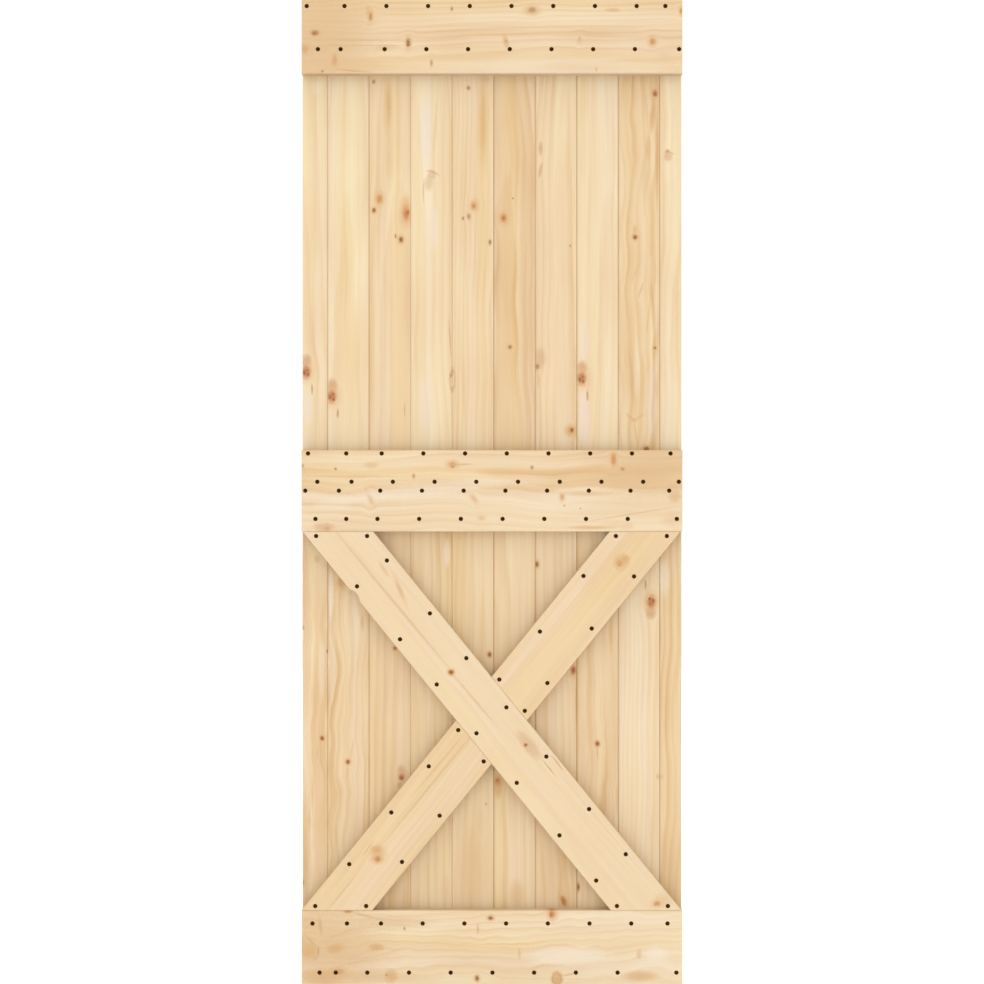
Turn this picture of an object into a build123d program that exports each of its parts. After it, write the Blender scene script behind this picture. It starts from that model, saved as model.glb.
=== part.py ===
from build123d import *
import math
import os

# Sliding barn door leaf, in millimetres. X runs across the door, +Y from front to back, +Z up.
# The origin is at the middle of the bottom edge. Upright tongue-and-groove boards are held by
# three rails and a crossed brace, all screwed on from the front.

# Door leaf
DOOR_WIDTH = 800
DOOR_HEIGHT = 2100

# Boards: two lengths in each column, the edge columns ripped from what is left of the width
BOARD_THICKNESS = 18
BOARD_COVER = 87.6
BOARD_ARRIS = 1
FIRST_BOARD_SHARE = 0.535
TONGUE_LENGTH = 7
TONGUE_THICKNESS = 6
TONGUE_CLEARANCE = 0.3

# Rails
RAIL_HEIGHT = 171
RAIL_THICKNESS = 22
RAIL_ARRIS = 1.5
LOWER_PANEL_HEIGHT = 796

# Braces: one runs through, the other is two halves that butt against its edges
BRACE_WIDTH = 115
BRACE_THICKNESS = 22
BRACE_ARRIS = 1.2
THROUGH_BRACE_INSET = 2.3
SPLIT_BRACE_TOP_INSET = 4.5
SPLIT_BRACE_FOOT_INSET = 0.4

# Wane: a scoop that is missing from the lower edge of the through brace, near its head
WANE_LENGTH = 34
WANE_DEPTH = 6.5
WANE_SHARE = 0.184
WANE_BACK_SHARE = 0.15

# Countersunk wood screws, with their heads flush in the rails and braces
SCREW_HEAD_DIAMETER = 9
SCREW_SHANK_DIAMETER = 4.5
SCREW_SIDES = 7
SCREW_BITE_SHARE = 0.72

# Screw rows on the rails. Each row is its height share, then the share across the first board,
# the second board, each board of the run after it, and the last board.
SCREW_EDGE = 7
TOP_ROW_SHARES = (
    (0.857, 0.10, 0.41, 0.415, 0.10),
    (0.28, 0.70, 0.30, 0.365, 1),
)
MIDDLE_ROW_SHARES = (
    (1, 0.17, 0.46, 0.28, 0.44),
    (0.621, 0.67, 0.61, 0.60, 0.98),
    (0.502, 0.02, 0.25, 0.24, 0.35),
    (0.124, 0.57, 0.46, 0.16, 0.85),
)
BOTTOM_ROW_SHARES = (
    (0.872, 0.41, 0.48, 0.26, 0.24),
    (0.215, 0.79, 0.16, -0.13, 0.82),
)

# Screw lines on the braces: shares of the way down the through brace, and shares of the way from
# the rail to the crossing on each half
BRACE_SCREW_EDGE = 16
BRACE_SCREW_END = 9.5
THROUGH_LEFT_SHARES = (0, 0.136, 0.279, 0.401, 0.533, 0.667, 0.809, 0.931, 1)
THROUGH_RIGHT_SHARES = (0, 0.066, 0.209, 0.33, 0.463, 0.596, 0.738, 0.86, 1)
UPPER_LEFT_SHARES = (0, 0.278, 0.666, 1)
UPPER_RIGHT_SHARES = (0, 0.231, 0.529, 0.841, 1)
LOWER_LEFT_SHARES = (0, 0.238, 0.532, 0.794, 1)
LOWER_RIGHT_SHARES = (0, 0.305, 0.625, 1)

# Places worked out from the driving dimensions
LEFT = -DOOR_WIDTH / 2
RIGHT = DOOR_WIDTH / 2
BOARD_FRONT = (RAIL_THICKNESS - BOARD_THICKNESS) / 2
BOTTOM_RAIL_FOOT = 0
MIDDLE_RAIL_FOOT = RAIL_HEIGHT + LOWER_PANEL_HEIGHT
TOP_RAIL_FOOT = DOOR_HEIGHT - RAIL_HEIGHT
PANEL_FOOT = RAIL_HEIGHT
PANEL_HEAD = MIDDLE_RAIL_FOOT


def board_edges():
    """X of the door's left edge, of each seam between boards, and of its right edge."""
    full_boards = math.floor(DOOR_WIDTH / BOARD_COVER) - 1
    ripped_width = DOOR_WIDTH - full_boards * BOARD_COVER
    first_seam = LEFT + ripped_width * FIRST_BOARD_SHARE
    seams = [first_seam + step * BOARD_COVER for step in range(full_boards + 1)]
    return [LEFT, *seams, RIGHT]


def board(left, right, foot, head):
    """One upright board, with a groove on its left edge and a tongue on its right one."""
    plane = Plane.XY.offset(foot)
    section = Pos(left, BOARD_FRONT) * Rectangle(right - left, BOARD_THICKNESS, align=Align.MIN)
    section = chamfer(section.vertices(), BOARD_ARRIS)
    middle = BOARD_FRONT + BOARD_THICKNESS / 2
    beside = (Align.MIN, Align.CENTER)
    if left > LEFT:
        depth = TONGUE_LENGTH + TONGUE_CLEARANCE
        groove = Rectangle(depth, TONGUE_THICKNESS + 2 * TONGUE_CLEARANCE, align=beside)
        section -= Pos(left, middle) * groove
    if right < RIGHT:
        section += Pos(right, middle) * Rectangle(TONGUE_LENGTH, TONGUE_THICKNESS, align=beside)
    return extrude(plane * section, head - foot)


def eased(solid, size):
    """The solid with the edges of its front face chamfered."""
    front = solid.faces().sort_by(Axis.Y)[0]
    return chamfer(front.edges(), size)


def rail(foot):
    """One full-width rail on the front of the boards."""
    corner = Pos(LEFT, BOARD_FRONT, foot)
    block = Box(DOOR_WIDTH, RAIL_THICKNESS, RAIL_HEIGHT, align=(Align.MIN, Align.MAX, Align.MIN))
    return eased(corner * block, RAIL_ARRIS)


class BraceLine:
    """The slanting band that a brace fills between the lower two rails."""

    def __init__(self, top_inset, foot_inset, falls_right):
        span = DOOR_WIDTH - top_inset - foot_inset
        height = PANEL_HEAD - PANEL_FOOT
        # The band leans by run, and its level ends are as wide as its width and lean make them
        slimness = BRACE_WIDTH / height
        rest = 1 - slimness**2
        run = (span - slimness * math.sqrt(span**2 + height**2 * rest)) / rest
        self.end_width = span - run
        self.lean = run / height if falls_right else -run / height
        self.head_left = LEFT + top_inset if falls_right else RIGHT - top_inset - self.end_width

    def level(self, distance):
        """Length along X of a distance square to the brace."""
        return distance * self.end_width / BRACE_WIDTH

    def left_edge(self, z):
        """X of the band's left edge at a height."""
        return self.head_left + self.lean * (PANEL_HEAD - z)

    def outline(self):
        """The band as a flat face on the front plane of the boards."""
        head = [self.left_edge(PANEL_HEAD), self.left_edge(PANEL_HEAD) + self.end_width]
        foot = [self.left_edge(PANEL_FOOT), self.left_edge(PANEL_FOOT) + self.end_width]
        corners = [
            (head[0], PANEL_HEAD),
            (head[1], PANEL_HEAD),
            (foot[1], PANEL_FOOT),
            (foot[0], PANEL_FOOT),
        ]
        return make_face(Polyline(*corners, close=True))

    def screw_lines(self):
        """Distance along X from the left edge to the left and right lines of screws."""
        inset = self.level(BRACE_SCREW_EDGE)
        return inset, self.end_width - inset


def brace(outline):
    """A brace of the given outline, standing on the boards."""
    plane = Plane.XZ.offset(-BOARD_FRONT)
    return eased(extrude(plane * outline, BRACE_THICKNESS), BRACE_ARRIS)


def wane(line):
    """The missing scoop, a cone that bites deepest into the front face."""
    # The cone's circle on the front face has the wane's length as a chord and its depth as a rise
    radius = (WANE_LENGTH**2 / 4 + WANE_DEPTH**2) / (2 * WANE_DEPTH)
    back_radius = radius - WANE_DEPTH * (1 - WANE_BACK_SHARE)
    z = PANEL_HEAD - WANE_SHARE * (PANEL_HEAD - PANEL_FOOT)
    x = line.left_edge(z) - line.level(radius - WANE_DEPTH)
    standing = (Align.CENTER, Align.CENTER, Align.MIN)
    cone = Cone(back_radius, radius, BRACE_THICKNESS, align=standing)
    return Pos(x, BOARD_FRONT, z) * Rot(90, 0, 0) * cone


def screw_ring(radius, depth):
    """Corners of a screw's section of the given radius, at a depth along +Y."""
    angles = [2 * math.pi * side / SCREW_SIDES for side in range(SCREW_SIDES)]
    return [(radius * math.sin(angle), depth, radius * math.cos(angle)) for angle in angles]


def screw_shape(thickness):
    """A screw through a piece of the given thickness, with its head at the origin, along +Y."""
    head_radius = SCREW_HEAD_DIAMETER / 2
    shank_radius = SCREW_SHANK_DIAMETER / 2
    # A right-angled countersink: the head is as deep as it stands out from the shank
    top = screw_ring(head_radius, 0)
    neck = screw_ring(shank_radius, head_radius - shank_radius)
    tip = (0, thickness + SCREW_BITE_SHARE * BOARD_THICKNESS, 0)
    return ConvexPolyhedron([*top, *neck]) + ConvexPolyhedron([*neck, tip])


def clear_of_seams(x):
    """The place nearest to x where a screw misses the tongues and grooves."""
    shank_radius = SCREW_SHANK_DIAMETER / 2
    for seam in board_edges()[1:-1]:
        before = seam - shank_radius
        after = seam + TONGUE_LENGTH + TONGUE_CLEARANCE + shank_radius
        if before < x < after:
            return before if x - before < after - x else after
    return x


def rail_screws(foot, rows):
    """Screws of one rail, in rows that follow the boards behind it."""
    shape = screw_shape(RAIL_THICKNESS)
    edges = board_edges()
    columns = len(edges) - 1
    screws = []
    for height_share, first_share, second_share, run_share, last_share in rows:
        z = foot + SCREW_EDGE + height_share * (RAIL_HEIGHT - 2 * SCREW_EDGE)
        run_shares = [run_share] * (columns - 3)
        column_shares = [first_share, second_share, *run_shares, last_share]
        for left, right, share in zip(edges, edges[1:], column_shares):
            x = clear_of_seams(left + SCREW_EDGE + share * (right - left - 2 * SCREW_EDGE))
            screws.append(Pos(x, BOARD_FRONT - RAIL_THICKNESS, z) * shape)
    return screws


def brace_screws(line, offset, start, end, shares):
    """Screws along one line of a brace, between two heights, each moved sideways clear of seams."""
    shape = screw_shape(BRACE_THICKNESS)
    screws = []
    for share in shares:
        z = start + share * (end - start)
        x = clear_of_seams(line.left_edge(z) + offset)
        screws.append(Pos(x, BOARD_FRONT - BRACE_THICKNESS, z) * shape)
    return screws


def crossing_height(line, offset, other, other_offset):
    """Height where a line on one brace meets a line on the other brace."""
    gap = line.head_left + offset - other.head_left - other_offset
    return PANEL_HEAD - gap / (other.lean - line.lean)


def drilled(piece, screws):
    """The piece with a hole for each screw that reaches it."""
    box = piece.bounding_box()
    reach = SCREW_HEAD_DIAMETER / 2
    tools = []
    for screw in screws:
        spot = screw.location.position
        across = box.min.X - reach < spot.X < box.max.X + reach
        upright = box.min.Z - reach < spot.Z < box.max.Z + reach
        if across and upright:
            tools.append(screw)
    return piece - tools if tools else piece


# Screws
through = BraceLine(THROUGH_BRACE_INSET, THROUGH_BRACE_INSET, falls_right=True)
split = BraceLine(SPLIT_BRACE_TOP_INSET, SPLIT_BRACE_FOOT_INSET, falls_right=False)
split_left, split_right = split.screw_lines()
screw_head = PANEL_HEAD - BRACE_SCREW_END
screw_foot = PANEL_FOOT + BRACE_SCREW_END
upper_side = through.end_width + through.level(BRACE_SCREW_END)
lower_side = -through.level(BRACE_SCREW_END)
upper_left_end = crossing_height(split, split_left, through, upper_side)
upper_right_end = crossing_height(split, split_right, through, upper_side)
lower_left_end = crossing_height(split, split_left, through, lower_side)
lower_right_end = crossing_height(split, split_right, through, lower_side)
through_left, through_right = through.screw_lines()

screw_groups = {
    "top_rail_screws": rail_screws(TOP_RAIL_FOOT, TOP_ROW_SHARES),
    "middle_rail_screws": rail_screws(MIDDLE_RAIL_FOOT, MIDDLE_ROW_SHARES),
    "bottom_rail_screws": rail_screws(BOTTOM_RAIL_FOOT, BOTTOM_ROW_SHARES),
    "through_brace_screws": [
        *brace_screws(through, through_left, screw_head, screw_foot, THROUGH_LEFT_SHARES),
        *brace_screws(through, through_right, screw_head, screw_foot, THROUGH_RIGHT_SHARES),
    ],
    "upper_half_brace_screws": [
        *brace_screws(split, split_left, screw_head, upper_left_end, UPPER_LEFT_SHARES),
        *brace_screws(split, split_right, screw_head, upper_right_end, UPPER_RIGHT_SHARES),
    ],
    "lower_half_brace_screws": [
        *brace_screws(split, split_left, screw_foot, lower_left_end, LOWER_LEFT_SHARES),
        *brace_screws(split, split_right, screw_foot, lower_right_end, LOWER_RIGHT_SHARES),
    ],
}
all_screws = [screw for group in screw_groups.values() for screw in group]

# Rails and braces, each drilled for its own screws
lower_half, upper_half = (split.outline() - through.outline()).faces().sort_by(Axis.Y)
fronts = {
    "top_rail": rail(TOP_RAIL_FOOT),
    "middle_rail": rail(MIDDLE_RAIL_FOOT),
    "bottom_rail": rail(BOTTOM_RAIL_FOOT),
    "through_brace": brace(through.outline()) - wane(through),
    "upper_half_brace": brace(upper_half),
    "lower_half_brace": brace(lower_half),
}
nodes = {name: piece - screw_groups[name + "_screws"] for name, piece in fronts.items()}

# Boards: the two lengths meet behind the middle rail, between its two inner rows of screws
inner_share = (MIDDLE_ROW_SHARES[1][0] + MIDDLE_ROW_SHARES[2][0]) / 2
board_joint = MIDDLE_RAIL_FOOT + SCREW_EDGE + inner_share * (RAIL_HEIGHT - 2 * SCREW_EDGE)
seams = board_edges()
for number, (left, right) in enumerate(zip(seams, seams[1:]), start=1):
    upper = board(left, right, board_joint, DOOR_HEIGHT)
    lower = board(left, right, 0, board_joint)
    nodes[f"upper_board_{number:02d}"] = drilled(upper, all_screws)
    nodes[f"lower_board_{number:02d}"] = drilled(lower, all_screws)

for name, screws in screw_groups.items():
    nodes[name] = Compound(children=[screw.solid() for screw in screws])

os.makedirs("parts", exist_ok=True)
for name, shape in nodes.items():
    export_step(shape, f"parts/{name}.step")
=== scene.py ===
import math
import random
from collections import namedtuple

import bmesh
import bpy
from mathutils import Matrix, Vector


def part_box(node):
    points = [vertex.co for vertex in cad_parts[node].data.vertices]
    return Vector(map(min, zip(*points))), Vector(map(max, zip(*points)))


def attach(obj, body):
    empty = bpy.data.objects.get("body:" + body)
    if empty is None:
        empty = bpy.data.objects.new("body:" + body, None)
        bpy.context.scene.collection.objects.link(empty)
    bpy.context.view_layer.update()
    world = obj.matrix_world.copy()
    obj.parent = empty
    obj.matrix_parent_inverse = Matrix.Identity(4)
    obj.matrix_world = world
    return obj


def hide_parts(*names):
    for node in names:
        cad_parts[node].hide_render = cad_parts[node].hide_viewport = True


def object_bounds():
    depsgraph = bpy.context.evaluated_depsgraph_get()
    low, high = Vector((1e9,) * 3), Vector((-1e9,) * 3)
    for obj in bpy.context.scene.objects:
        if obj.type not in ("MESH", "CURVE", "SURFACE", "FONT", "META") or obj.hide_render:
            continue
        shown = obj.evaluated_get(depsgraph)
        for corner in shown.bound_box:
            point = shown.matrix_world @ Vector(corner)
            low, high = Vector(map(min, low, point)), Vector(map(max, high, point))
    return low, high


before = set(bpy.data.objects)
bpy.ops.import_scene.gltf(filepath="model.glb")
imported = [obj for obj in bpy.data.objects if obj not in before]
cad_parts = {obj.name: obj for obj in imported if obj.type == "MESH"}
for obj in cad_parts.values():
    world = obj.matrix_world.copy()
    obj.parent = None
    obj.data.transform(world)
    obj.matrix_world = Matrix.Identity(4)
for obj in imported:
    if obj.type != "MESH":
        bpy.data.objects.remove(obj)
cad_low, cad_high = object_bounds()

# View: the photograph's square frame, its scale at the rails' front and the eye's distance from it
PHOTO_SIDE = 984
PIXEL = 0.0021
EYE_DISTANCE = 3.9
SENSOR = 36.0

# Light: an even white room, brighter to the sides of the door than straight in front of it
FACING_LIGHT = 1.02
GRAZING_LIGHT = 1.75
LIGHT_LEVELS = (1.285, 1.253, 1.17)
FLOOR_SIDE = 14.0
FLOOR_COLOUR = (250, 249, 247)
FLOOR_ROUGHNESS = 0.9

# Colours of bare pine, from the palest wood to the warmest
PINE_SHARES = (0.0, 0.3, 0.55, 0.8, 1.0)
PINE_COLOURS = ((252, 236, 206), (245, 221, 183), (239, 208, 166), (229, 191, 143), (213, 167, 114))
YELLOW_TINT = (255, 252, 234)
END_GRAIN = (216, 178, 128)

# Colours of knots and streaks, and of the painted shade down the seams
KNOT_RED = (192, 121, 68)
KNOT_RIM = (207, 146, 88)
KNOT_DARK = (144, 88, 34)
KNOT_DEEP = (148, 79, 26)
KNOT_ORANGE = (209, 146, 82)
HALO = (229, 180, 124)
PINK = (232, 192, 154)
GREY_BROWN = (176, 134, 88)
ORANGE = (226, 182, 122)
PALE = (251, 237, 212)
BLUSH = (244, 223, 202)
TAN = (226, 187, 137)
AMBER = (219, 168, 108)
ROOT = (208, 157, 112)
LINE = (206, 157, 104)
SEAM_SHADE = (160, 108, 56)

# Marks of the wood: each style is the colour and cover at a distance from the mark's middle, in radii.
# No piece has more than 37 marks, since a piece with 44 renders black
MARK_REACH = 2.5
MARK_STYLES = {
    "red": ((0.0, KNOT_RED, 0.95), (0.5, KNOT_RED, 0.88), (0.85, KNOT_RIM, 0.75),
            (1.1, HALO, 0.55), (1.6, HALO, 0.25), (2.4, HALO, 0.0)),
    "fleck": ((0.0, KNOT_DEEP, 0.85), (0.6, KNOT_DEEP, 0.6), (1.4, KNOT_DEEP, 0.0)),
    "nub": ((0.0, KNOT_DEEP, 0.95), (0.65, KNOT_DEEP, 0.85), (1.1, KNOT_RIM, 0.7),
            (1.6, HALO, 0.45), (2.4, HALO, 0.0)),
    "eye": ((0.0, TAN, 0.2), (0.6, TAN, 0.2), (0.9, LINE, 0.75), (1.1, LINE, 0.5), (1.5, LINE, 0.0)),
    "dark": ((0.0, KNOT_DARK, 0.95), (0.55, KNOT_DARK, 0.85), (1.0, KNOT_RIM, 0.7),
             (1.4, HALO, 0.5), (2.4, HALO, 0.0)),
    "orange": ((0.0, KNOT_ORANGE, 0.95), (0.7, KNOT_ORANGE, 0.8), (1.2, HALO, 0.6), (2.3, HALO, 0.0)),
    "pin": ((0.0, KNOT_DARK, 0.85), (0.6, KNOT_DARK, 0.65), (1.1, LINE, 0.4), (1.8, LINE, 0.0)),
    "pink": ((0.0, PINK, 0.8), (0.6, PINK, 0.7), (1.4, PINK, 0.0)),
    "root": ((0.0, ROOT, 0.85), (0.75, ROOT, 0.7), (1.4, ROOT, 0.0)),
    "amber": ((0.0, AMBER, 0.8), (0.7, AMBER, 0.6), (1.4, AMBER, 0.0)),
    "tan": ((0.0, TAN, 0.8), (0.6, TAN, 0.6), (1.4, TAN, 0.0)),
    "pale": ((0.0, PALE, 0.8), (0.6, PALE, 0.7), (1.2, PALE, 0.0)),
    "blush": ((0.0, BLUSH, 0.75), (0.7, BLUSH, 0.65), (1.2, BLUSH, 0.0)),
    "streak": ((0.0, ORANGE, 0.85), (0.5, ORANGE, 0.6), (1.3, ORANGE, 0.0)),
    "dash": ((0.0, GREY_BROWN, 0.85), (0.7, GREY_BROWN, 0.6), (1.3, GREY_BROWN, 0.0)),
    "line": ((0.0, LINE, 0.85), (0.7, LINE, 0.6), (1.4, LINE, 0.0)),
    # The seam style is painted shade down the grooves between the boards
    "seam": ((0.0, SEAM_SHADE, 1.0), (0.5, SEAM_SHADE, 0.7), (1.2, SEAM_SHADE, 0.0)),
}
KNOT_STYLES = ("red", "nub", "dark", "orange")
KNOT_PUSH = 0.75
KNOT_PUSH_WIDTH_SHARE = 2.4
KNOT_PUSH_LENGTH_SHARE = 2.8

MM_PER_METRE = 1000

# A mark: its pixel in the photograph, half width and half height in millimetres, style, cover, lean in
# degrees with its top to the left, and how far its ends bend to the left for each metre squared
Mark = namedtuple("Mark", "px py half_wide half_high style cover lean bend", defaults=(1.0, 0.0, 0.0))

# A round knot with its root above it and a dash below it, as offsets in pixels from its middle
BRANCH_KNOT = (
    Mark(0.4, -10.5, 9.5, 13, "root", 0.9), Mark(0.6, -12, 4, 3.5, "amber", 0.5),
    Mark(0, 0, 10.5, 13.5, "red"),
    Mark(-1.9, 1.2, 2.6, 4.4, "fleck"), Mark(1.9, 3.2, 2.8, 3.4, "fleck"),
    Mark(1.3, -1.8, 2.4, 3, "fleck", 0.7),
    Mark(-0.4, 6.6, 8, 2.6, "amber", 0.7), Mark(5.8, 17.3, 2.3, 10.5, "dash", 0.9),
)


def branch_knot(px, py, turn=1):
    """The marks of a round knot at a pixel, upside down with a turn of -1."""
    return tuple(mark._replace(px=px + turn * mark.px, py=py + turn * mark.py) for mark in BRANCH_KNOT)


# A soft brown streak down the middle seam, ending in a tear-shaped knot that both boards share
SHARED_STREAK = (
    Mark(451.4, 225, 4.6, 300, "tan", 0.6), Mark(449.9, 337, 1.7, 36, "line", 0.9, 3),
    Mark(452.3, 380, 5.5, 21, "eye", 0.9), Mark(451, 375.4, 2.2, 5, "pin", 0.7, -20),
)

UPPER_MARKS = {
    1: (Mark(317, 86, 14, 18, "pale", 0.3), Mark(308, 408, 9, 44, "blush", 0.7),
        *branch_knot(306.2, 371.8)),
    2: branch_knot(331.9, 396.2),
    3: (Mark(388.5, 108, 9, 60, "streak"), Mark(388.6, 104, 4, 40, "amber", 0.45),
        Mark(389, 160, 8, 60, "streak", 0.6), Mark(373.8, 81.7, 3, 4.2, "pin"),
        Mark(379.5, 198.8, 6.3, 9.5, "orange"), Mark(374, 210.3, 4.2, 5.2, "dark"),
        Mark(405.6, 206, 8, 26, "streak", 0.9), Mark(406.2, 213.5, 8.5, 17, "orange"),
        Mark(406.3, 214, 5.5, 11, "red", 0.6), Mark(408, 212.3, 2.8, 5, "fleck", 0.8),
        Mark(395.6, 236, 2.1, 4.2, "pin"),
        Mark(401, 239.6, 4.8, 6.3, "dark"), Mark(404.5, 410, 1.5, 14, "dash", 0.6)),
    4: (Mark(426.3, 132, 11, 78, "blush"), Mark(431.8, 174.4, 8, 9, "root", 0.5),
        Mark(428.5, 183, 8, 14, "root", 0.5),
        Mark(433.5, 172, 2.2, 14, "line", 0.7, 68, 14), Mark(435.5, 125, 2.4, 60, "streak", 0.6, -3),
        Mark(423.5, 191, 1.5, 23, "dash", 0.5),
        Mark(434, 228, 9, 44, "blush", 0.8), Mark(425, 405, 14, 60, "blush", 0.5), *SHARED_STREAK),
    5: (Mark(483, 128, 12, 95, "streak"), Mark(483, 118, 4, 60, "amber", 0.4),
        Mark(484.8, 79, 8.5, 8.5, "pink"),
        Mark(468.4, 87.9, 3.4, 4.6, "pin"), Mark(474, 205.8, 6.5, 8.5, "orange", 0.9),
        Mark(473.8, 206, 3.4, 4.6, "red", 0.6),
        Mark(468.8, 216.4, 3.6, 5.4, "nub", 0.6), Mark(463, 218.3, 2.5, 3.8, "pin"),
        Mark(490, 242.2, 3.2, 5.2, "pin"), Mark(463.5, 385, 4, 90, "tan", 0.5, 2), *SHARED_STREAK),
    6: (Mark(526.5, 270, 17, 380, "tan", 0.5), Mark(503.6, 218, 7.5, 9.5, "orange"),
        Mark(503.6, 218, 3.4, 4.2, "pin", 0.8), Mark(512.9, 198.2, 1.7, 1.7, "pin"),
        Mark(510, 347, 4.2, 4.2, "dark", 0.8)),
    7: (Mark(540.6, 148.5, 4, 13, "root", 0.8), Mark(540.4, 170.5, 3, 14, "root", 0.8, -10),
        Mark(570.3, 246, 1.7, 2.7, "pin"), Mark(540.3, 358, 10, 19, "root", 0.6),
        Mark(538.4, 380, 3, 18, "streak"), Mark(537.5, 366.6, 4.2, 6.3, "dark", 0.7),
        Mark(571, 431, 13, 13, "streak"), Mark(571.4, 430.5, 7.5, 8, "orange", 0.8),
        Mark(571.8, 430, 3.2, 4.2, "nub", 0.9)),
    8: (Mark(584, 418, 11, 64, "blush", 0.9), Mark(584, 340, 10, 50, "blush", 0.5),
        *branch_knot(581.6, 378.4)),
    9: (Mark(655, 93.6, 6.4, 8.6, "red"), Mark(655.2, 94, 3.2, 4.4, "fleck", 0.8),
        Mark(652.6, 115, 5.5, 34, "amber", 1, -5), Mark(657.2, 158, 3.4, 92, "amber"),
        Mark(648, 149, 5, 26, "amber", 0.7),
        Mark(635, 230, 6, 12, "streak"), Mark(635, 237.3, 5, 5, "dark"),
        Mark(636, 271, 3, 24, "streak", 0.6, -24), Mark(640.8, 290, 2.2, 17, "line", 0.55, -20),
        Mark(653, 272, 2.4, 24, "streak", 0.8, -4), Mark(648, 320, 2.2, 42, "streak", 0.9, -6),
        Mark(647, 182, 10, 42, "tan", 0.6), Mark(656, 312, 5, 56, "pale", 0.4),
        Mark(651, 271, 7, 34, "pale", 0.3), Mark(637, 370, 7, 60, "pale", 0.4),
        Mark(656, 368, 5, 32, "pale", 0.4), Mark(633, 362, 3, 58, "tan", 0.25, 0, 3),
        Mark(652, 405, 11, 80, "blush", 0.6), Mark(655, 347.9, 3.2, 3.2, "pin"),
        Mark(634, 420, 7, 4, "amber", 0.7),
        Mark(629.5, 416.5, 2.8, 9, "amber", 0.6, 52), Mark(640, 416.5, 2.8, 9, "amber", 0.55, -56),
        Mark(636, 435, 1.3, 25, "line", 0.65, 10), Mark(646.5, 449, 6.3, 5.2, "dark")),
    10: (Mark(667.2, 151.2, 2.8, 2.6, "orange"), Mark(671, 152.4, 1.5, 9, "line", 0.7, 64),
         Mark(668, 156, 8, 10, "root", 0.7)),
}
LOWER_MARKS = {
    1: (Mark(322, 670, 7, 60, "pale", 0.35), Mark(317, 559, 6.3, 8.5, "tan"),
        Mark(305.5, 855, 9, 120, "amber", 0.85), Mark(312.6, 791, 4, 32, "streak", 0.6),
        Mark(309.4, 821, 3, 25, "streak", 0.7), Mark(305.6, 862, 3, 32, "streak", 0.9),
        Mark(323.5, 726, 3, 18, "streak", 0.6), Mark(318, 751, 2.5, 20, "streak", 0.7, -14),
        Mark(303, 627.7, 1.7, 4.2, "pin"), Mark(322.2, 738.3, 3.9, 4.6, "nub"),
        Mark(303, 882, 2.5, 6, "dark", 0.7), Mark(327.5, 651.3, 2.1, 4.2, "pin")),
    2: (Mark(331, 594, 6, 60, "pale", 0.8), Mark(332, 660, 8, 90, "pale", 0.35),
        Mark(340.5, 582.4, 8.5, 10, "orange", 0.45), Mark(362.3, 622, 4.2, 19, "streak"),
        Mark(352, 749, 3, 22, "streak", 0.6, -12), Mark(336.2, 837, 3, 32, "streak", 0.7),
        Mark(347.7, 773, 1.4, 15, "line", 0.6), Mark(347.9, 761.8, 4, 4.6, "nub")),
    3: (Mark(395.2, 648.3, 4.2, 4.2, "dark", 0.8), Mark(401.5, 772, 8, 14, "root", 0.8),
        Mark(401.6, 777.5, 7, 8, "red"), Mark(401.4, 778, 3.4, 3.6, "fleck", 0.8),
        Mark(399.5, 785, 5, 7, "root", 0.8)),
    4: (Mark(447, 553, 7, 30, "pale", 0.6), Mark(446, 890, 10, 32, "tan", 0.6)),
    5: (Mark(473, 866, 42, 105, "tan", 0.7), Mark(473, 870, 24, 80, "amber", 0.3),
        Mark(489.6, 654.5, 4, 5.2, "nub"), Mark(481, 822, 10, 30, "tan", 0.5),
        Mark(486, 804, 2.4, 4, "dash", 0.7)),
    6: (Mark(498, 787, 8, 20, "amber"), Mark(497.6, 781.5, 7, 9, "orange"),
        Mark(497.5, 780.5, 4.5, 5, "red", 0.8),
        Mark(517, 894, 14, 26, "amber", 0.6)),
    7: (Mark(553, 868, 24, 52, "amber", 0.4), Mark(537, 564.3, 3.8, 6.3, "dark"),
        Mark(573.5, 670.4, 6.3, 10.5, "red"), Mark(573.2, 669.8, 2.6, 5, "fleck", 0.7),
        Mark(576, 700, 1.5, 52, "line"), Mark(563.5, 901, 6, 13, "red", 1, 18)),
    8: (Mark(583.7, 753, 8, 84, "pink", 0.7), Mark(611, 633, 3.2, 42, "streak"),
        Mark(616.8, 798, 4, 34, "streak", 0.8), Mark(597.3, 752, 1.4, 16, "line", 0.6),
        Mark(597.3, 743.7, 4.2, 5, "nub"), Mark(578.3, 887, 2.5, 7, "nub")),
    9: (*branch_knot(651.3, 601.9, -1), Mark(658, 776.6, 5, 6, "tan")),
    10: (Mark(664, 578, 12, 40, "pale", 0.6), Mark(661, 776.6, 5, 6, "tan")),
}
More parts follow.
